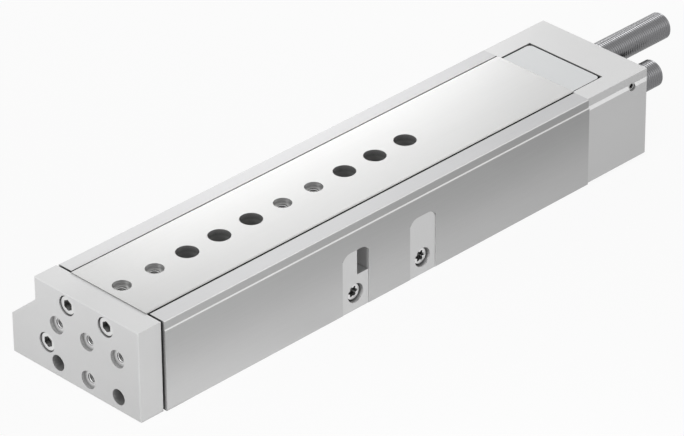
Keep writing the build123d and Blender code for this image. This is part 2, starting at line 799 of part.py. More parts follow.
save(housing(), "housing")
save(rear_block(), "rear_block")
save(rear_block_screws(), "rear_block_screws")
save(housing_rails[0], "housing_rail_right")
save(housing_rails[1], "housing_rail_left")
save(rod_gland(), "rod_gland")
save(gland_ring(), "gland_ring")
save(gland_circlip(), "gland_circlip")
save(rod_bush(), "rod_bush")
save(rod_seal(), "rod_seal")
save(cylinder_end_plug(), "cylinder_end_plug")
save(end_plug_ring(), "end_plug_ring")
save(advance_stop(), "advance_stop")
save(blanking_block(), "blanking_block")
save(side_screws(), "side_screws")
save(absorber_body(retract_front_x, retract_y, retract_z), "retract_absorber")
save(retract_lock_nut(), "retract_lock_nut")

save(slide(), "slide")
save(slide_rails[0], "slide_rail_right")
save(slide_rails[1], "slide_rail_left")
save(slide_end_cap(), "slide_end_cap")
save(end_cap_screws(), "end_cap_screws")
save(yoke_plate(), "yoke_plate")
save(yoke_screws(), "yoke_screws")
save(piston_rod(), "piston_rod")
save(piston(), "piston")
save(piston_seals(), "piston_seals")
save(piston_magnet(), "piston_magnet")
save(piston_guide_ring(), "piston_guide_ring")
save(piston_nut(), "piston_nut")
save(absorber_body(advance_front_x, advance_y, advance_z), "advance_absorber")
save(advance_lock_ring(), "advance_lock_ring")

save(cages[0], "ball_cage_right")
save(cages[1], "ball_cage_left")
save(balls[0], "balls_right")
save(balls[1], "balls_left")

save(absorber_plunger(retract_front_x, retract_y, retract_z), "retract_plunger")
save(absorber_button(retract_front_x, retract_y, retract_z), "retract_button")
save(absorber_plunger(advance_front_x, advance_y, advance_z), "advance_plunger")
save(absorber_button(advance_front_x, advance_y, advance_z), "advance_button")
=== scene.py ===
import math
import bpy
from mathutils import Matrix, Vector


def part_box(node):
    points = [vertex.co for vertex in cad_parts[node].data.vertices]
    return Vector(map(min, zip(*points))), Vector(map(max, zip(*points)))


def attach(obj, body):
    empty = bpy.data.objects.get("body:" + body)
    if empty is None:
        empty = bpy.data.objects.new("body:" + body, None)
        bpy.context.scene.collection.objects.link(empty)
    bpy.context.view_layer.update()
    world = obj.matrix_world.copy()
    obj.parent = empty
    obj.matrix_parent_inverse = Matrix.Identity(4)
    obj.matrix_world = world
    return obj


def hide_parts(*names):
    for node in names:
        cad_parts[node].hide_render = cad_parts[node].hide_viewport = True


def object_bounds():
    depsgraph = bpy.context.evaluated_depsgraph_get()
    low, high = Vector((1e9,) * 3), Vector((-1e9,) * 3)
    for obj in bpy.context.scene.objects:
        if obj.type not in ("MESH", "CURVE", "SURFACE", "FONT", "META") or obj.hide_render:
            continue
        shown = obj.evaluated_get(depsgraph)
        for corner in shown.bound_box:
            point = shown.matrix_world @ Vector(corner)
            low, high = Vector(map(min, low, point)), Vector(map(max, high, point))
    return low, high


bl_info = {
    "name": "Slide Table Dresser",
    "version": (1, 0, 0),
    "blender": (4, 5, 0),
    "location": "View3D > Sidebar > Slide Table",
    "description": "Finishes, cut threads and a studio for a pneumatic slide table",
    "category": "Object",
}

from collections import namedtuple

import bpy
from bpy.props import FloatProperty, FloatVectorProperty, IntProperty, PointerProperty
from mathutils import Euler, Vector

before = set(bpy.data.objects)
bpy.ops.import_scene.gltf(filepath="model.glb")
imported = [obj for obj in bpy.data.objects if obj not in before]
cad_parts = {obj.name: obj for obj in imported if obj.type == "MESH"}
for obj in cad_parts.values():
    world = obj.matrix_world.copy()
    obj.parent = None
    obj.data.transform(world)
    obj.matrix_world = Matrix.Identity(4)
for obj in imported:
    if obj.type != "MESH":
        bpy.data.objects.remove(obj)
CAD_BOX = [list(corner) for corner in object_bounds()]

# Directions: the table runs forward, and the long side with the two side blocks is on the right
FORWARD = (1, 0, 0)
BACK = (-1, 0, 0)
RIGHT = (0, 1, 0)
UP = (0, 0, 1)
DOWN = (0, 0, -1)
UP_RIGHT = (0, 0.7071, 0.7071)
UP_FORWARD = (0.7071, 0, 0.7071)

# Scale of the tool marks along each axis: a small one draws them out in that direction
EVEN = (1, 1, 1)
BRUSHED = (0.02, 1, 1)
GROUND = (0.015, 1, 1)
DRAWN = (0.05, 1, 1)
TURNED = (1, 0.05, 0.05)
MILLED_UP = (1, 1, 0.25)
MILLED_FINE = (1, 1, 0.1)

# What all the worked metals share, with lengths in metres
MARK_HEIGHT = 0.00004
CLOUD_SCALE = 35.0
CLOUD_STRETCH = (0.5, 1, 1)
CLOUD_SHIFT = 3.1
FACING_SOFTNESS = 0.08
EDGE_STRENGTH = 2.2
HOLE_REACH = 0.01
GAP_REACH = 0.003
GAP_SPAN = (0.2, 0.7)
GAP_TINT = 0.03

# Where a thread's flanks and crest begin and end, as shares of its pitch
CREST_START = 0.22
CREST_END = 0.68
ROOT_START = 0.9

# The grid of the tapped holes and how deep their seats are, in metres
HOLE_PITCH = 0.02
SEAT_DEPTH = 0.0021

# The key socket in an absorber's rear end, and the button seat and plunger bore in its front end, in metres
TIP_RADIUS = 0.0001
KEY_FLATS = 0.005
KEY_MOUTH_FLATS = 0.0056
KEY_DEPTH = 0.0038
KEY_TIP = 0.0042
MOUTH_CHAMFER = 0.0003
BODY_CHAMFER = 0.0012
THREAD_RUN_OUT = 0.0002
BUTTON_SEAT_RADIUS = 0.0035
BUTTON_SEAT_DEPTH = 0.0035
PLUNGER_BORE_RADIUS = 0.00255
PLUNGER_BORE_DEPTH = 0.027
PLUNGER_BORE_TIP = 0.028

# A direction, how nearly a face looks there, and the colour and roughness such faces get. Most of these
# colours are painted light and shade: faces lighter or darker by how they turn
Cut = namedtuple("Cut", "direction nearness colour roughness")

# The radius and depth of a tapped hole, and the height and pitch of its thread
Hole = namedtuple("Hole", "radius depth thread_height pitch")


# Settings that a user would change

def colour(name, description, value):
    return FloatVectorProperty(
        name=name, description=description, default=value, size=3, subtype="COLOR", min=0, max=1
    )


def length(name, description, value):
    return FloatProperty(
        name=name, description=description, default=value, unit="LENGTH", subtype="DISTANCE", precision=5
    )


def power(name, description, value):
    return FloatProperty(name=name, description=description, default=value, unit="POWER")


class SlideTableSizes(bpy.types.PropertyGroup):
    absorber_pitch: length("Absorber thread pitch", "Distance between two turns on an absorber", 0.00135)
    absorber_depth: length("Absorber thread depth", "How deep the absorber's thread is cut", 0.00022)
    tapped_pitch: length("Tapped hole pitch", "Distance between two turns in an M6 hole", 0.001)
    tapped_depth: length("Tapped hole thread", "How far an M6 hole's thread stands in from its wall", 0.00035)
    port_pitch: length("Port pitch", "Distance between two turns in a supply port", 0.0009)
    port_depth: length("Port thread", "How far a supply port's thread stands in from its wall", 0.0004)
    edge_radius: length("Edge radius", "How far an edge looks broken", 0.00018)
    sides: IntProperty(
        name="Thread sides", description="Points round one turn of a thread", default=72, min=12, max=144
    )


class SlideTableColours(bpy.types.PropertyGroup):
    housing: colour("Housing", "Brushed and anodised sides of the housing", (0.455, 0.455, 0.455))
    # Housing top is painted light on the upward strips, lighter and cooler than the sides. Bevel is a painted
    # highlight on the bevel under the ledge
    housing_top: colour("Housing top", "Ground strips beside the table", (0.715, 0.715, 0.73))
    bevel: colour("Bevel", "Bright bevel under the ledge", (0.98, 0.98, 0.97))
    rear_block: colour("Rear block", "Anodised block behind the housing", (0.565, 0.565, 0.565))
    yoke: colour("Yoke plate", "Anodised plate in front", (0.66, 0.66, 0.66))
    table: colour("Table", "Ground steel of the table top", (0.645, 0.645, 0.64))
    end_cap: colour("End cap", "Matte cap behind the table", (0.635, 0.645, 0.65))
    insert: colour("Side inserts", "Blocks in the long side", (0.60, 0.60, 0.60))
    screw: colour("Screws", "Plain steel screws", (0.93, 0.93, 0.92))
    absorber: colour("Absorbers", "Dark threaded absorber bodies", (0.18, 0.18, 0.185))
    floor: colour("Floor", "Pale floor under the object", (0.92, 0.92, 0.92))


class SlideTableStudio(bpy.types.PropertyGroup):
    camera_place: FloatVectorProperty(
        name="Camera place", description="Where the camera stands", default=(1.3265, 1.3484, 1.1673),
        size=3, subtype="TRANSLATION", unit="LENGTH",
    )
    camera_turn: FloatVectorProperty(
        name="Camera turn", description="How the camera is turned",
        default=(math.radians(58.8927), math.radians(0.3938), math.radians(135.0772)),
        size=3, subtype="EULER",
    )
    lens: FloatProperty(
        name="Lens", description="Focal length on a 36 mm sensor, in millimetres", default=250.63
    )
    overhead: power("Overhead lamp", "Power above the object", 0.84)
    front: power("Front lamp", "Power in front of the yoke plate", 5.0)
    side: power("Side lamp", "Power beside the long side", 0.4)
    rear: power("Rear lamp", "Power behind the absorbers", 0.08)
    rim: power("Rim lamp", "Power that the bevels catch", 0.8)
    ambient: FloatProperty(
        name="Ambient", description="Strength of the even light from all round", default=0.35
    )


def scene_sizes():
    return bpy.context.scene.slide_table_sizes


def scene_colours():
    return bpy.context.scene.slide_table_colours


# Shader maths and node trees

class Signal:
    """A value or colour on its way between nodes, so that shader sums read as plain sums."""

    def __init__(self, finish, socket):
        self.finish = finish
        self.socket = socket

    def math(self, operation, *values):
        return self.finish.add("ShaderNodeMath", {"operation": operation}, dict(enumerate(values)))

    def __add__(self, other):
        return self.math("ADD", self, other)

    def __radd__(self, other):
        return self.math("ADD", other, self)

    def __sub__(self, other):
        return self.math("SUBTRACT", self, other)

    def __rsub__(self, other):
        return self.math("SUBTRACT", other, self)

    def __mul__(self, other):
        return self.math("MULTIPLY", self, other)

    def __rmul__(self, other):
        return self.math("MULTIPLY", other, self)

    def clipped(self, low=0.0, high=1.0):
        return self.math("MINIMUM", self.math("MAXIMUM", self, low), high)

    def eased(self, start, end):
        """0 before start, 1 after end and a soft rise between them."""
        return self.finish.add(
            "ShaderNodeMapRange", {"interpolation_type": "SMOOTHSTEP"},
            {"Value": self, "From Min": start, "From Max": end},
        )


class Finish:
    """The nodes of one material, or of the world."""

    def __init__(self, owner):
        owner.use_nodes = True
        self.owner = owner
        self.tree = owner.node_tree
        self.tree.nodes.clear()

    def add(self, kind, settings=None, sockets=None, output=0):
        """Add one node by its type, its settings and the values or links of its sockets.

        What comes back is the output that is asked for, or nothing if the node has none.
        """
        node = self.tree.nodes.new(kind)
        for name, value in (settings or {}).items():
            setattr(node, name, value)
        for name, value in (sockets or {}).items():
            if isinstance(value, Signal):
                self.tree.links.new(value.socket, node.inputs[name])
            else:
                node.inputs[name].default_value = value
        return Signal(self, node.outputs[output]) if node.outputs else None

    def place(self):
        return self.add("ShaderNodeTexCoord", output="Object")

    def axis(self, place, name):
        return self.add("ShaderNodeSeparateXYZ", sockets={"Vector": place}, output=name)

    def after(self, place, axis, span):
        """0 before a span of an axis, 1 after it and a soft rise in it."""
        return self.axis(place, axis).eased(*span)

    def before(self, place, axis, span):
        """1 before a span of an axis, 0 after it and a soft fall in it."""
        return 1.0 - self.after(place, axis, span)

    def noise(self, place, scale, stretch, detail, roughness, shift=0.0):
        moved = self.add(
            "ShaderNodeMapping",
            sockets={"Vector": place, "Scale": stretch, "Location": (shift, shift, shift)},
        )
        sockets = {"Vector": moved, "Scale": scale, "Detail": detail, "Roughness": roughness}
        return self.add("ShaderNodeTexNoise", {"noise_dimensions": "3D"}, sockets, "Fac")

    def mix(self, factor, low, high):
        """Blend two colours. The sockets go by number, since a Mix node has three pairs named A and B."""
        sockets = {0: factor, 6: self.whole(low), 7: self.whole(high)}
        return self.add("ShaderNodeMix", {"data_type": "RGBA", "blend_type": "MIX"}, sockets, 2)

    def whole(self, value):
        """A colour as a Mix node takes it."""
        return value if isinstance(value, Signal) else (*value, 1.0)

    def toned(self, tone, base):
        """From half of a colour to one and a half times it, as the tone goes from -0.5 to 0.5."""
        return self.mix((tone + 0.5).clipped(), tint(base, 0.5), tint(base, 1.5))

    def flat_normal(self):
        return self.add("ShaderNodeNewGeometry", output="Normal")

    def dot(self, first, second):
        return self.add("ShaderNodeVectorMath", {"operation": "DOT_PRODUCT"}, {0: first, 1: second}, "Value")

    def facing(self, direction):
        """How nearly a face looks in a direction: 1 when it does, 0 at a right angle to it."""
        return self.dot(self.flat_normal(), direction)

    def towards(self, direction):
        """The same, and 0 where a face looks away."""
        return self.facing(direction).clipped()

    def worn_and_highlit_edge(self, radius):
        """The rounded normal of the edges, and how near an edge a point is."""
        rounded = self.add("ShaderNodeBevel", {"samples": 4}, {"Radius": radius})
        return rounded, (1.0 - self.dot(rounded, self.flat_normal())).clipped()

    def bump(self, height, strength, distance, normal):
        sockets = {"Height": height, "Strength": strength, "Distance": distance, "Normal": normal}
        return self.add("ShaderNodeBump", sockets=sockets)

    def openness(self, reach, alone):
        """1 on a free face, and near 0 deep in a hole or a gap. alone leaves out the other pieces."""
        settings = {"samples": 6, "only_local": alone}
        return self.add("ShaderNodeAmbientOcclusion", settings, {"Distance": reach}, "AO")

    def output(self, shader, kind="Material"):
        self.add(f"ShaderNodeOutput{kind}", sockets={"Surface": shader})
        return self.owner


def tint(value, factor):
    """A colour made lighter or darker."""
    return tuple(min(1.0, channel * factor) for channel in value)


def worked_metal(
    name, base, roughness, metallic, grain=EVEN, grain_scale=900.0, grain_depth=0.06, cloud=0.05,
    edge_light=1.15, bump=0.05, rough_spread=0.06, shade=None, hollow_shade=0.25, hole_span=(0.15, 0.6), facing_colours=(),
    gap_share=None, hole_share=None, edge_share=1.0,
):
    """A metal with tool marks along one direction, faint clouds of tone, edges lightened partly as wear and
    partly as a painted highlight, and painted shade in hollows and gaps.

    grain, grain_scale and grain_depth are the direction, fineness and strength of the tool marks.
    hollow_shade is how light the painted shade in hollows is, and hole_span how open a place is where it
    counts as a deep one and where it stops to count. edge_share makes the broken edges narrower. shade,
    gap_share and hole_share are functions of the finish and the place. They say how the tone, with its
    painted light and shade, and the painted shade in narrow gaps and in hollows change over the piece.
    """
    finish = Finish(bpy.data.materials.new(name))
    place = finish.place()
    marks = finish.noise(place, grain_scale, grain, detail=4.0, roughness=0.6)
    clouds = finish.noise(place, CLOUD_SCALE, CLOUD_STRETCH, detail=2.0, roughness=0.5, shift=CLOUD_SHIFT)
    tone = (marks - 0.5) * grain_depth + (clouds - 0.5) * cloud
    if shade:
        tone = tone + shade(finish, place)
    colour_at = finish.toned(tone, base)
    rough = (marks - 0.5) * rough_spread + roughness
    # Faces that look in the given directions take their own colour, mostly painted light and shade, and their
    # own roughness
    for cut in facing_colours:
        share = finish.facing(cut.direction).eased(cut.nearness, cut.nearness + FACING_SOFTNESS)
        colour_at = finish.mix(share, colour_at, finish.toned(tone, cut.colour))
        rough = rough + share * (cut.roughness - roughness)
    rounded, edge = finish.worn_and_highlit_edge(scene_sizes().edge_radius * edge_share)
    # Edges are lightened by edge_light: partly wear, partly a painted highlight on the bevels
    colour_at = finish.mix((edge * EDGE_STRENGTH).clipped(), colour_at, tint(base, edge_light))
    # Painted shade: hollows and narrow gaps are darkened in the colour by how little of their surroundings
    # they see
    hole = finish.openness(HOLE_REACH, True).eased(*hole_span)
    gap = finish.openness(GAP_REACH, False).eased(*GAP_SPAN)
    if gap_share:
        gap = (1.0 - (1.0 - gap) * gap_share(finish, place)).clipped()
    if hole_share:
        hole = 1.0 - (1.0 - hole) * hole_share(finish, place)
    colour_at = finish.mix(hole, tint(base, hollow_shade), colour_at)
    colour_at = finish.mix(gap, tint(base, GAP_TINT), colour_at)
    normal = finish.bump(marks, bump, MARK_HEIGHT, rounded)
    surface = finish.add(
        "ShaderNodeBsdfPrincipled",
        sockets={"Base Color": colour_at, "Roughness": rough, "Metallic": metallic, "Normal": normal},
    )
    return finish.output(surface)


def dress(material, *nodes):
    """Give CAD nodes a finish."""
    for node in nodes:
        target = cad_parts[node]
        target.data.materials.clear()
        target.data.materials.append(material)


# Mesh building

def piece(name, vertices, faces, material, body):
    """One new piece that rides on a body and takes the given finish."""
    sharp_angle = math.radians(35)
    mesh = bpy.data.meshes.new(name)
    mesh.from_pydata(vertices, [], faces)
    mesh.validate()
    mesh.update()
    mesh.shade_smooth()
    mesh.set_sharp_from_angle(angle=sharp_angle)
    mesh.materials.append(material)
    shape = bpy.data.objects.new(name, mesh)
    bpy.context.scene.collection.objects.link(shape)
    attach(shape, body)
    return shape


class Lathe:
    """Builds a skin round an axis from rings, with a helical thread wherever one is asked for."""

    def __init__(self, origin, direction, sides):
        self.turn = Vector((1, 0, 0)).rotation_difference(Vector(direction)).to_matrix()
        self.origin = Vector(origin)
        self.sides = sides
        self.vertices = []
        self.faces = []
        self.last = None

    def angle(self, step):
        return 2 * math.pi * step / self.sides

    def point(self, x, radius, step):
        angle = self.angle(step)
        here = Vector((x, radius * math.cos(angle), radius * math.sin(angle)))
        self.vertices.append(tuple(self.origin + self.turn @ here))
        return len(self.vertices) - 1

    def loop(self, x, radius):
        """A ring of points. radius is a number, or a function of the angle."""
        steps = range(self.sides)
        if callable(radius):
            return [self.point(x, radius(self.angle(step)), step) for step in steps]
        return [self.point(x, radius, step) for step in steps]

    def face(self, corners):
        distinct = list(dict.fromkeys(corners))
        if len(distinct) > 2:
            self.faces.append(distinct)

    def ring(self, x, radius):
        """Add a ring, and join it to the ring before."""
        new = self.loop(x, radius)
        if self.last:
            for step in range(self.sides):
                after = (step + 1) % self.sides
                self.face((self.last[step], self.last[after], new[after], new[step]))
        self.last = new
        return self

    def thread(self, start_x, end_x, start_r, end_r, low_r, high_r, pitch):
        """A helical thread from the last ring's place at start_x to end_x: root, flank, crest and flank."""
        if self.last is None:
            self.last = self.loop(start_x, start_r)
        first = self.last
        final = self.loop(end_x, end_r)
        profile = ((0.0, low_r), (CREST_START, high_r), (CREST_END, high_r), (ROOT_START, low_r))
        count = len(profile)
        # The turns start one pitch early and end late. What falls outside meets the ring at that end
        rows = count * (int((end_x - start_x) / pitch) + 3)
        made = {}

        def corner(row, step):
            if step == self.sides:
                return corner(row + count, 0)
            turn, part = divmod(row, count)
            x = start_x + pitch * (turn - 1 + profile[part][0] + step / self.sides)
            if x <= start_x:
                return first[step]
            if x >= end_x:
                return final[step]
            if (row, step) not in made:
                made[row, step] = self.point(x, profile[part][1], step)
            return made[row, step]

        for row in range(rows):
            for step in range(self.sides):
                near = (corner(row, step), corner(row, step + 1))
                far = (corner(row + 1, step + 1), corner(row + 1, step))
                self.face(near + far)
        self.last = final
        return self


def hexagon(flats):
    """The radius of a hexagon at each angle."""
    def radius(angle):
        past = (angle + math.pi / 6) % (math.pi / 3) - math.pi / 6
        return flats / 2 / math.cos(past)
    return radius


# Operators for the pieces

class SLIDE_TABLE_OT_housing(bpy.types.Operator):
    """Brush the housing along its length and grind its rails"""

    bl_idname = "slide_table.housing"
    bl_label = "Housing and rails"

    def execute(self, context):
        colours = scene_colours()
        front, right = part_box("housing")[1][:2]
        height, full_length, full_width = (0.0, 0.043), (-0.22, 0.22), (-0.035, 0.035)
        height_fade, length_fade, width_fade = 0.34, 0.16, 0.06
        left_wall_side, far_strip_side = (-0.024, -0.023), (-0.03, -0.02)
        side_face = (right - 0.002, right - 0.001)
        front_part, front_end = (0.07, 0.14), (front - 0.018, front - 0.008)
        window_x, window_y, window_z = (-0.005, 0.005), (0.0, 0.01), (0.0175, 0.0185)
        left_wall_light, far_front_light = 0.7, 0.15
        recess_dark, window_dark = 0.6, 1.6

        def shade(finish, place):
            """Painted light and shade: darker towards the top, the rear and the right, lighter on the far
            side and darker in the recess.
            """
            up = (0.5 - finish.after(place, "Z", height)) * height_fade
            along = (finish.after(place, "X", full_length) - 0.5) * length_fade
            across = (0.5 - finish.after(place, "Y", full_width)) * width_fade
            left_wall = finish.towards(RIGHT) * finish.before(place, "Y", left_wall_side)
            far_front = finish.after(place, "X", front_part) * finish.before(place, "Y", far_strip_side)
            recess = finish.towards(FORWARD) * finish.before(place, "Y", side_face)
            fades = up + along + across
            return fades + left_wall * left_wall_light + far_front * far_front_light - recess * recess_dark

        def yoke_gap(finish, place):
            """The painted shade in gaps counts only at the front end."""
            return finish.after(place, "X", front_end)

        def stop_window(finish, place):
            """The painted shade in hollows counts only behind the window over the notched stop."""
            near = finish.after(place, "X", window_x) * finish.after(place, "Y", window_y)
            return near * finish.after(place, "Z", window_z) * window_dark

        material = worked_metal(
            "brushed_anodised_housing", colours.housing, roughness=0.42, metallic=0.5, grain=BRUSHED,
            grain_scale=2600.0, grain_depth=0.10, bump=0.06, shade=shade, hollow_shade=0.1, gap_share=yoke_gap,
            hole_share=stop_window, edge_share=0.25,
            facing_colours=(
                # Painted light: upward faces take the lighter, cooler housing top colour, the bevel under the
                # ledge a painted highlight, and forward faces twice the housing colour
                Cut(UP, 0.88, colours.housing_top, 0.38),
                Cut(UP_RIGHT, 0.9, colours.bevel, 0.35),
                Cut(FORWARD, 0.9, tint(colours.housing, 2.0), 0.5),
            ),
        )
        dress(material, "housing")
        rails = worked_metal(
            "ground_rail_steel", (0.42, 0.42, 0.43), roughness=0.22, metallic=1.0, grain=BRUSHED,
            grain_scale=3000.0,
        )
        dress(rails, "housing_rail_right", "housing_rail_left", "slide_rail_right", "slide_rail_left")
        return {"FINISHED"}


class SLIDE_TABLE_OT_rear_block(bpy.types.Operator):
    """Give the rear block its fine matte anodising"""

    bl_idname = "slide_table.rear_block"
    bl_label = "Rear block"

    def execute(self, context):
        base = scene_colours().rear_block
        material = worked_metal(
            "matte_anodised_block", base, roughness=0.45, metallic=0.5, grain_scale=2400.0, grain_depth=0.05,
            hollow_shade=0.12,
            # Painted light: the top is lighter and the bevel carries a painted highlight
            facing_colours=(Cut(UP, 0.88, tint(base, 1.14), 0.4), Cut(UP_RIGHT, 0.8, tint(base, 1.35), 0.4)),
        )
        dress(material, "rear_block")
        return {"FINISHED"}


class SLIDE_TABLE_OT_yoke(bpy.types.Operator):
    """Give the yoke plate its milled and anodised faces"""

    bl_idname = "slide_table.yoke"
    bl_label = "Yoke plate"

    def execute(self, context):
        base = scene_colours().yoke
        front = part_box("yoke_plate")[1][0]
        height, full_width, far_side = (-0.01, 0.055), (-0.06, 0.05), (-0.03, 0.0)
        seat_floor, rear_face = (front - 0.002, front - 0.001), (front - 0.0135, front - 0.012)
        height_fade, width_fade, gap_fade = 0.14, 0.09, 0.6
        floor_light, far_top_light = 0.5, 0.12

        def shade(finish, place):
            """Painted light: the front is lighter towards its top and left and in its seats, and the far top
            is lighter too.
            """
            up = finish.after(place, "Z", height) * height_fade
            across = finish.after(place, "Y", full_width) * width_fade
            seats = finish.before(place, "X", seat_floor) * floor_light
            far_top = finish.towards(UP) * finish.before(place, "Y", far_side)
            return finish.towards(FORWARD) * (up - across + seats) + far_top * far_top_light

        def housing_gap(finish, place):
            """The painted shade in gaps counts in full only at the rear face."""
            return 1.0 - finish.after(place, "X", rear_face) * gap_fade

        material = worked_metal(
            "milled_anodised_yoke", base, roughness=0.45, metallic=0.5, grain=MILLED_UP, grain_scale=2400.0,
            grain_depth=0.05, shade=shade, hollow_shade=0.65, hole_span=(0.2, 0.8), gap_share=housing_gap,
            facing_colours=(
                # Painted light and shade: a painted highlight on the top-front bevel, the right side darker
                # and the top lighter
                Cut(UP_FORWARD, 0.9, tint(base, 1.4), 0.4),
                Cut(RIGHT, 0.9, tint(base, 0.86), 0.45),
                Cut(UP, 0.9, tint(base, 1.1), 0.45),
            ),
        )
        dress(material, "yoke_plate")
        return {"FINISHED"}


class SLIDE_TABLE_OT_table(bpy.types.Operator):
    """Grind the table top and matte its end cap"""

    bl_idname = "slide_table.table"
    bl_label = "Table and end cap"

    def execute(self, context):
        base = scene_colours().table
        right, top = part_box("slide")[1][1:]
        full_width, front_part = (-0.03, 0.03), (0.03, 0.15)
        seat_floor, mouth = (top - 0.002, top - 0.001), (top - 0.004, top - 0.0025)
        front_seats, rear_seats, rear_seats_end = (0.105, 0.106), (0.005, 0.006), (0.036, 0.037)
        hole_row_left, hole_row_right, hole_row_end = (-0.008, -0.006), (0.006, 0.008), (0.136, 0.1375)
        bevel = (right - 0.00034, right - 0.00028)
        width_fade, front_fade, floor_light = 0.08, 0.12, 0.6
        deep_share, seat_relief = 0.1, 0.35
        bevel_dark, hole_row_relief = 8.0, 0.4

        def shade(finish, place):
            """Painted light and shade: darker towards the right, more so in front, with painted light on the
            floors of the seats.
            """
            across = finish.after(place, "Y", full_width)
            fade = finish.after(place, "X", front_part) * front_fade + width_fade
            seat_floors = finish.towards(UP) * finish.before(place, "Z", seat_floor)
            return (0.5 - across) * fade + seat_floors * floor_light

        def near_the_mouth(finish, place):
            """The painted shade in hollows counts near the top, and less where the tapped holes have their
            seats.
            """
            along = finish.axis(place, "X")
            seats = along.eased(*front_seats) + along.eased(*rear_seats) - along.eased(*rear_seats_end)
            shallow = finish.after(place, "Z", mouth) * (1.0 - deep_share) + deep_share
            return shallow * (1.0 - seats * seat_relief)

        def right_gap(finish, place):
            """The painted shade in gaps counts most on the right bevel, and less in the row of holes."""
            row = finish.after(place, "Y", hole_row_left) * finish.before(place, "Y", hole_row_right)
            row = row * finish.before(place, "X", hole_row_end)
            on_bevel = finish.after(place, "Y", bevel) * bevel_dark + 1.0
            return on_bevel * (1.0 - row * hole_row_relief)

        material = worked_metal(
            "ground_table_steel", base, roughness=0.26, metallic=0.6, grain=GROUND, grain_scale=2200.0,
            cloud=0.04, bump=0.015, rough_spread=0.03, shade=shade, hollow_shade=0.5, hole_span=(0.76, 1.0),
            hole_share=near_the_mouth, gap_share=right_gap, edge_share=0.25,
            # Painted shade: the right bevel is darker beside the gap
            facing_colours=(Cut(UP_RIGHT, 0.85, tint(base, 0.84), 0.4),),
        )
        dress(material, "slide")
        cap = worked_metal(
            "matte_end_cap", scene_colours().end_cap, roughness=0.5, metallic=0.5, grain_scale=2600.0,
            grain_depth=0.05, cloud=0.04,
        )
        dress(cap, "slide_end_cap")
        return {"FINISHED"}


class SLIDE_TABLE_OT_side_inserts(bpy.types.Operator):
    """Give the stop and the blanking block in the long side their finish"""

    bl_idname = "slide_table.side_inserts"
    bl_label = "Side inserts"

    def execute(self, context):
        above_screws = (0.0145, 0.0155)
        seat_share = 0.2

        def above_the_seats(finish, place):
            """The painted shade in gaps and hollows counts less round the screw heads than above them."""
            return finish.after(place, "Z", above_screws) * (1.0 - seat_share) + seat_share

        material = worked_metal(
            "fine_milled_insert", scene_colours().insert, roughness=0.4, metallic=0.6, grain=MILLED_FINE,
            grain_scale=2400.0, grain_depth=0.08, hollow_shade=0.15, gap_share=above_the_seats,
            hole_share=above_the_seats, edge_share=0.25,
        )
        dress(material, "advance_stop", "blanking_block")
        return {"FINISHED"}


class SLIDE_TABLE_OT_screws(bpy.types.Operator):
    """Turn and rumble the screws"""

    bl_idname = "slide_table.screws"
    bl_label = "Screws"

    def execute(self, context):
        low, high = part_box("side_screws")
        side_screws_start, side_screws_end = (low[0] - 0.001, low[0]), (high[0], high[0] + 0.001)
        shank, head_face = (0.02, 0.021), (high[1] - 0.0006, high[1] - 0.0004)
        socket_dark = 0.6

        def shade(finish, place):
            """Painted shade in the sockets of the two side screws, which sit behind the faces of their heads.
            """
            along = finish.after(place, "X", side_screws_start) * finish.before(place, "X", side_screws_end)
            sockets = finish.after(place, "Y", shank) * finish.before(place, "Y", head_face)
            return along * sockets * -socket_dark

        material = worked_metal(
            "plain_screw_steel", scene_colours().screw, roughness=0.3, metallic=1.0, grain_scale=1800.0,
            grain_depth=0.10, cloud=0.06, edge_light=1.2, shade=shade, hollow_shade=0.2, hole_span=(0.15, 0.5),
        )
        dress(material, "rear_block_screws", "side_screws", "end_cap_screws", "yoke_screws", "piston_nut")
        return {"FINISHED"}


class SLIDE_TABLE_OT_cylinder(bpy.types.Operator):
    """Finish the sealed pieces of the cylinder"""

    bl_idname = "slide_table.cylinder"
    bl_label = "Cylinder pieces"

    def execute(self, context):
        turned = worked_metal(
            "turned_aluminium", (0.55, 0.56, 0.57), roughness=0.32, metallic=0.9, grain=TURNED,
            grain_scale=2500.0, grain_depth=0.12,
        )
        dress(turned, "rod_gland", "cylinder_end_plug", "piston")
        chrome = worked_metal(
            "hard_chrome", (0.7, 0.7, 0.71), roughness=0.12, metallic=1.0, grain=TURNED,
            grain_scale=2500.0, grain_depth=0.03,
        )
        dress(chrome, "piston_rod", "retract_plunger", "advance_plunger")
        rubber = worked_metal(
            "seal_rubber", (0.02, 0.02, 0.02), roughness=0.6, metallic=0.0, grain_scale=1500.0,
            grain_depth=0.2,
        )
        dress(rubber, "gland_ring", "end_plug_ring", "rod_seal", "piston_seals")
        bronze = worked_metal(
            "sintered_bronze", (0.45, 0.28, 0.12), roughness=0.42, metallic=0.9, grain_scale=3200.0,
            grain_depth=0.25,
        )
        dress(bronze, "rod_bush")
        spring = worked_metal("dark_spring_steel", (0.11, 0.11, 0.12), roughness=0.36, metallic=0.9)
        dress(spring, "gland_circlip")
        magnet = worked_metal(
            "bonded_magnet", (0.07, 0.07, 0.07), roughness=0.55, metallic=0.0, grain_scale=2600.0,
            grain_depth=0.3,
        )
        dress(magnet, "piston_magnet")
        plastic = worked_metal(
            "guide_plastic", (0.5, 0.47, 0.38), roughness=0.45, metallic=0.0, grain_scale=1200.0,
        )
        dress(plastic, "piston_guide_ring", "retract_button", "advance_button")
        return {"FINISHED"}


class SLIDE_TABLE_OT_ball_guide(bpy.types.Operator):
    """Polish the balls and finish their cages"""

    bl_idname = "slide_table.ball_guide"
    bl_label = "Ball guide"

    def execute(self, context):
        brass = worked_metal(
            "cage_brass", (0.55, 0.38, 0.14), roughness=0.35, metallic=0.95, grain=DRAWN,
            grain_scale=2200.0, grain_depth=0.12,
        )
        dress(brass, "ball_cage_right", "ball_cage_left")
        balls = worked_metal(
            "polished_ball_steel", (0.7, 0.7, 0.71), roughness=0.08, metallic=1.0, grain_depth=0.02, bump=0.0,
        )
        dress(balls, "balls_right", "balls_left")
        return {"FINISHED"}


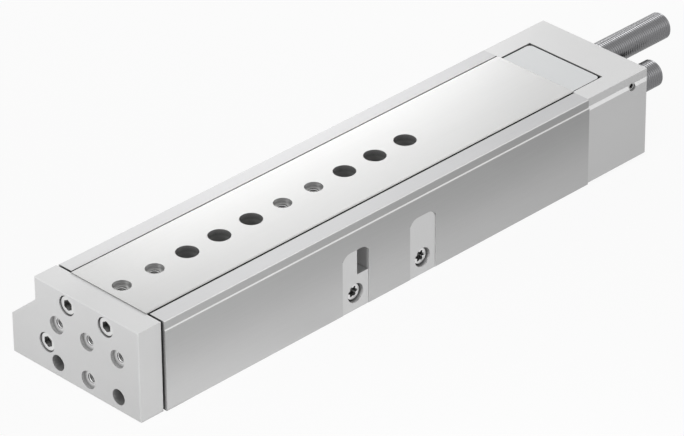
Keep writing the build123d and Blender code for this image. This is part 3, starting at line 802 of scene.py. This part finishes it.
def threaded_body(name, node, body, material):
    """A threaded absorber body in place of its plain CAD node, from its key socket to its plunger bore."""
    sizes = scene_sizes()
    low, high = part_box(node)
    start = Vector((low[0], (low[1] + high[1]) / 2, (low[2] + high[2]) / 2))
    total = high[0] - low[0]
    crest = (high[1] - low[1]) / 2
    root = crest - sizes.absorber_depth
    rim = crest - BODY_CHAMFER
    thread_start = BODY_CHAMFER - THREAD_RUN_OUT
    seat_floor = total - BUTTON_SEAT_DEPTH
    lathe = Lathe(start, FORWARD, sizes.sides)
    lathe.ring(KEY_TIP, TIP_RADIUS).ring(KEY_DEPTH, hexagon(KEY_FLATS))
    lathe.ring(MOUTH_CHAMFER, hexagon(KEY_FLATS)).ring(0.0, hexagon(KEY_MOUTH_FLATS))
    lathe.ring(0.0, rim).ring(thread_start, root)
    lathe.thread(thread_start, total - BODY_CHAMFER, root, root, root, crest, sizes.absorber_pitch)
    lathe.ring(total, rim).ring(total, BUTTON_SEAT_RADIUS + MOUTH_CHAMFER)
    lathe.ring(total - MOUTH_CHAMFER, BUTTON_SEAT_RADIUS).ring(seat_floor, BUTTON_SEAT_RADIUS)
    lathe.ring(seat_floor, PLUNGER_BORE_RADIUS).ring(total - PLUNGER_BORE_DEPTH, PLUNGER_BORE_RADIUS)
    lathe.ring(total - PLUNGER_BORE_TIP, TIP_RADIUS)
    shape = piece(name, lathe.vertices, lathe.faces, material, body)
    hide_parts(node)


class SLIDE_TABLE_OT_absorbers(bpy.types.Operator):
    """Cut the threads of the two absorbers and plate them"""

    bl_idname = "slide_table.absorbers"
    bl_label = "Absorbers"

    def execute(self, context):
        base = scene_colours().absorber
        light_from, band_direction = (0, 0.6, 0.8), (0, 0.05, 0.999)
        light_span = (-0.2, 0.7)
        light, dark = 0.3, 0.25

        def shade(finish, place):
            """Painted light: lighter where the thread looks up and to the right, darker elsewhere."""
            return finish.facing(light_from).eased(*light_span) * light - dark

        material = worked_metal(
            "dark_plated_steel", base, roughness=0.28, metallic=1.0, grain_scale=1600.0, grain_depth=0.05,
            cloud=0.08, edge_light=1.6, bump=0.0, shade=shade,
            # A painted highlight: a light band along the top of the thread
            facing_colours=(Cut(band_direction, 0.92, tint(base, 2.2), 0.25),),
        )
        threaded_body("retract_absorber_thread", "retract_absorber", "root", material)
        threaded_body("advance_absorber_thread", "advance_absorber", "table", material)
        dress(material, "retract_absorber", "advance_absorber", "retract_lock_nut", "advance_lock_ring")
        return {"FINISHED"}


def tapped_threads(name, mouths, direction, hole, metal, body):
    """The threads of like tapped holes, each from just below its mouth and just clear of its wall."""
    start, play = 0.0002, 0.00002
    outer = hole.radius - play
    material = bpy.data.materials[metal]
    for number, mouth in enumerate(mouths, 1):
        lathe = Lathe(mouth, direction, scene_sizes().sides // 2)
        lathe.thread(start, hole.depth, outer, outer, outer - hole.thread_height, outer, hole.pitch)
        piece(f"{name}_{number}", lathe.vertices, lathe.faces, material, body)


class SLIDE_TABLE_OT_tapped_holes(bpy.types.Operator):
    """Cut the threads in the tapped holes of the table, the yoke plate and the ports"""

    bl_idname = "slide_table.tapped_holes"
    bl_label = "Tapped holes"

    def execute(self, context):
        sizes = scene_sizes()
        screw_hole = Hole(
            radius=0.0025, depth=0.0118, thread_height=sizes.tapped_depth, pitch=sizes.tapped_pitch
        )
        port = Hole(radius=0.0043, depth=0.0098, thread_height=sizes.port_depth, pitch=sizes.port_pitch)

        first_inset = 0.007
        table_places = (0, 1, 5, 6)
        first_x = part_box("housing")[1][0] - first_inset
        seat_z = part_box("slide")[1][2] - SEAT_DEPTH
        mouths = [(first_x - HOLE_PITCH * place, 0.0, seat_z) for place in table_places]
        metal = "ground_table_steel"
        tapped_threads("table_thread", mouths, DOWN, screw_hole, metal, "table")

        low_row = 0.0075
        yoke_places = ((-1, 1), (0, 1), (1, 1), (0, 0))
        seat_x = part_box("yoke_plate")[1][0] - SEAT_DEPTH
        mouths = [(seat_x, HOLE_PITCH * side, low_row + HOLE_PITCH * row) for side, row in yoke_places]
        metal = "milled_anodised_yoke"
        tapped_threads("yoke_thread", mouths, BACK, screw_hole, metal, "table")

        port_inset, port_gap = 0.012, 0.017
        block_low, block_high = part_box("rear_block")
        rod_low, rod_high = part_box("piston_rod")
        first_x = block_high[0] - port_inset
        cylinder_z = (rod_low[2] + rod_high[2]) / 2
        mouths = [(first_x - port_gap * place, block_low[1], cylinder_z) for place in (0, 1)]
        metal = "matte_anodised_block"
        tapped_threads("port_thread", mouths, RIGHT, port, metal, "root")
        return {"FINISHED"}


# The studio

def area_lamp(name, place, target, size, strength):
    """A soft lamp that shines at a point."""
    data = bpy.data.lights.new(name, "AREA")
    data.shape = "RECTANGLE"
    data.size, data.size_y = size
    data.energy = strength
    lamp = bpy.data.objects.new(name, data)
    lamp.location = place
    lamp.rotation_euler = (Vector(target) - Vector(place)).to_track_quat("-Z", "Y").to_euler()
    bpy.context.scene.collection.objects.link(lamp)


def seen_share(finish):
    """1 for rays from the camera and for mirrored and refracted rays, else 0."""
    seen, mirrored, refracted = (
        finish.add("ShaderNodeLightPath", output=name)
        for name in ("Is Camera Ray", "Is Glossy Ray", "Is Transmission Ray")
    )
    return (seen + mirrored + refracted).clipped()


class SLIDE_TABLE_OT_studio(bpy.types.Operator):
    """Set up the pale floor, the soft lamps and the camera"""

    bl_idname = "slide_table.studio"
    bl_label = "Studio"

    def execute(self, context):
        studio = context.scene.slide_table_studio
        self.lay_floor(context)
        self.light(context, studio)
        self.place_camera(context, studio)
        context.scene.view_settings.view_transform = "Standard"
        return {"FINISHED"}

    def lay_floor(self, context):
        half, whiteness = 4.0, 0.92
        corners = [(-half, -half, 0), (half, -half, 0), (half, half, 0), (-half, half, 0)]
        mesh = bpy.data.meshes.new("studio_floor")
        mesh.from_pydata(corners, [], [(0, 1, 2, 3)])
        floor = bpy.data.objects.new("studio_floor", mesh)
        context.scene.collection.objects.link(floor)
        finish = Finish(bpy.data.materials.new("pale_floor"))
        diffuse = finish.add("ShaderNodeBsdfDiffuse", sockets={"Color": (*scene_colours().floor, 1.0)})
        white = finish.add("ShaderNodeEmission", sockets={"Color": (1, 1, 1, 1), "Strength": 1.0})
        share = seen_share(finish) * whiteness
        mixed = finish.add("ShaderNodeMixShader", sockets={0: share, 1: diffuse, 2: white})
        mesh.materials.append(finish.output(mixed))

    def light(self, context, studio):
        sky = Finish(bpy.data.worlds.new("studio_world"))
        even = sky.add("ShaderNodeBackground", sockets={"Color": (1, 1, 1, 1), "Strength": studio.ambient})
        shown = sky.add("ShaderNodeBackground", sockets={"Color": (1, 1, 1, 1), "Strength": 1.0})
        mixed = sky.add("ShaderNodeMixShader", sockets={0: seen_share(sky), 1: even, 2: shown})
        context.scene.world = sky.output(mixed, "World")

        centre = (Vector(CAD_BOX[0]) + Vector(CAD_BOX[1])) / 2
        lamps = (
            ("overhead_softbox", (-0.45, -0.5, 0.265), (-0.45, -0.03, 0.04), (0.34, 0.2), studio.overhead),
            ("front_softbox", (1.3, -0.25, 0.5), centre, (0.8, 0.8), studio.front),
            ("side_softbox", (0.15, 0.3, 0.07), (0.1, 0.035, 0.02), (0.15, 0.15), studio.side),
            ("rear_softbox", (-0.48, -0.17, 0.34), (-0.2, 0, 0.03), (0.11, 0.11), studio.rear),
            ("rim_softbox", (-0.65, 0.64, 0.47), (-0.05, 0.035, 0.04), (0.5, 0.5), studio.rim),
        )
        for name, place, target, size, strength in lamps:
            area_lamp(name, place, target, size, strength)

    def place_camera(self, context, studio):
        data = bpy.data.cameras.new("photo_camera")
        data.sensor_width = 36.0
        data.lens = studio.lens
        data.clip_start, data.clip_end = 0.05, 50.0
        camera = bpy.data.objects.new("photo_camera", data)
        camera.location = studio.camera_place
        camera.rotation_euler = Euler(studio.camera_turn)
        context.scene.collection.objects.link(camera)
        context.scene.camera = camera


OPERATORS = (
    SLIDE_TABLE_OT_housing,
    SLIDE_TABLE_OT_rear_block,
    SLIDE_TABLE_OT_yoke,
    SLIDE_TABLE_OT_table,
    SLIDE_TABLE_OT_side_inserts,
    SLIDE_TABLE_OT_screws,
    SLIDE_TABLE_OT_cylinder,
    SLIDE_TABLE_OT_ball_guide,
    SLIDE_TABLE_OT_absorbers,
    SLIDE_TABLE_OT_tapped_holes,
    SLIDE_TABLE_OT_studio,
)


class SLIDE_TABLE_PT_panel(bpy.types.Panel):
    """The operators and the settings in the sidebar"""

    bl_idname = "SLIDE_TABLE_PT_panel"
    bl_label = "Slide Table"
    bl_space_type = "VIEW_3D"
    bl_region_type = "UI"
    bl_category = "Slide Table"

    def draw(self, context):
        for group in (scene_sizes(), scene_colours(), context.scene.slide_table_studio):
            box = self.layout.box()
            for name in group.__annotations__:
                box.prop(group, name)
        for operator in OPERATORS:
            self.layout.operator(operator.bl_idname)


CLASSES = (SlideTableSizes, SlideTableColours, SlideTableStudio, *OPERATORS, SLIDE_TABLE_PT_panel)


def register():
    for cls in CLASSES:
        bpy.utils.register_class(cls)
    bpy.types.Scene.slide_table_sizes = PointerProperty(type=SlideTableSizes)
    bpy.types.Scene.slide_table_colours = PointerProperty(type=SlideTableColours)
    bpy.types.Scene.slide_table_studio = PointerProperty(type=SlideTableStudio)


def unregister():
    del bpy.types.Scene.slide_table_studio
    del bpy.types.Scene.slide_table_colours
    del bpy.types.Scene.slide_table_sizes
    for cls in reversed(CLASSES):
        bpy.utils.unregister_class(cls)


def main():
    register()
    calls = bpy.ops.slide_table
    calls.housing()
    calls.rear_block()
    calls.yoke()
    calls.table()
    calls.side_inserts()
    calls.screws()
    calls.cylinder()
    calls.ball_guide()
    calls.absorbers()
    calls.tapped_holes()
    calls.studio()


if __name__ == "__main__":
    main()
